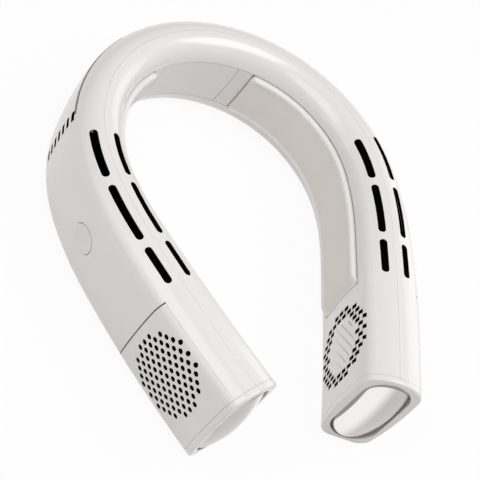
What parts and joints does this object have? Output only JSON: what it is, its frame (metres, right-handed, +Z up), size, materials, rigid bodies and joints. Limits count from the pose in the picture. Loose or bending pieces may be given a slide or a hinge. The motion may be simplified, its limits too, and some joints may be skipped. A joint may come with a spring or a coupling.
{
  "type": "electric neck fan",
  "caption": "Rigid U-shaped bladeless neck fan: hollow white band with top air slots, round intake grilles over an impeller in each end, soft neck pads, side vents and a push button.",
  "frame": {"origin": "middle of the footprint, on the flat base of the band", "axes": "+Z up, -Y towards the open front of the U, +X across to the wearer's left-hand arm as seen from behind the band"},
  "size_m": [0.184, 0.2267, 0.0585],
  "materials": {
    "shell_white": "glossy warm white",
    "insert_pearl": "pearl satin",
    "pad_soft": "matte soft-touch",
    "plate_satin": "satin",
    "button_white": "glossy",
    "duct_black": "black matte",
    "impeller_dark": "dark matte",
    "steel": "plain",
    "magnet_grey": "plain",
    "bearing_bronze": "sintered",
    "stator_copper": "enamelled wire",
    "cell_wrap": "shrink-wrapped",
    "board_green": "solder mask",
    "switch_black": "matte",
    "wire_black": "matte"
  },
  "bodies": {
    "band": {"button_switch": "switch_black", "case_screws": "steel", "charge_board": "board_green", "charge_socket": "steel", "inner_shell": "shell_white", "left_battery_cell": "cell_wrap", "left_bearing": "bearing_bronze", "left_cell_saddle": "duct_black", "left_duct_floor": "duct_black", "left_end_bezel": "shell_white", "left_end_insert": "insert_pearl", "left_fan_cover": "shell_white", "left_fan_scroll": "duct_black", "left_link_panel": "plate_satin", "left_motor_base": "duct_black", "left_motor_lead": "wire_black", "left_neck_pad": "pad_soft", "left_stator": "stator_copper", "motor_screws": "steel", "outer_shell": "shell_white", "rear_cover": "shell_white", "rear_neck_plate": "plate_satin", "right_battery_cell": "cell_wrap", "right_bearing": "bearing_bronze", "right_cell_saddle": "duct_black", "right_duct_floor": "duct_black", "right_end_bezel": "shell_white", "right_end_insert": "insert_pearl", "right_fan_cover": "shell_white", "right_fan_scroll": "duct_black", "right_link_panel": "plate_satin", "right_motor_base": "duct_black", "right_motor_lead": "wire_black", "right_neck_pad": "pad_soft", "right_stator": "stator_copper", "switch_board": "board_green", "wiring_loom": "wire_black"},
    "left_rotor": {"left_impeller": "impeller_dark", "left_rotor_cup": "steel", "left_magnet_ring": "magnet_grey", "left_rotor_shaft": "steel"},
    "right_rotor": {"right_impeller": "impeller_dark", "right_rotor_cup": "steel", "right_magnet_ring": "magnet_grey", "right_rotor_shaft": "steel"},
    "button": {"power_button": "button_white", "switch_plunger": "switch_black"}
  },
  "joints": [
    {"name": "left_fan_spin", "type": "hinge", "parent": "band", "child": "left_rotor", "pos_m": [-0.05162, -0.07613, 0.0293], "axis": [-0.9368, -0.3498, 0], "continuous": true},
    {"name": "right_fan_spin", "type": "hinge", "parent": "band", "child": "right_rotor", "pos_m": [0.05162, -0.07613, 0.0293], "axis": [0.9368, -0.3498, 0], "continuous": true},
    {"name": "power_button_press", "type": "slide", "parent": "band", "child": "button", "axis": [0.9779, 0.2016, 0.0545], "range_m": [0, 0.0005], "stiffness_N_per_m": 800, "springref_m": -0.0005}
  ]
}
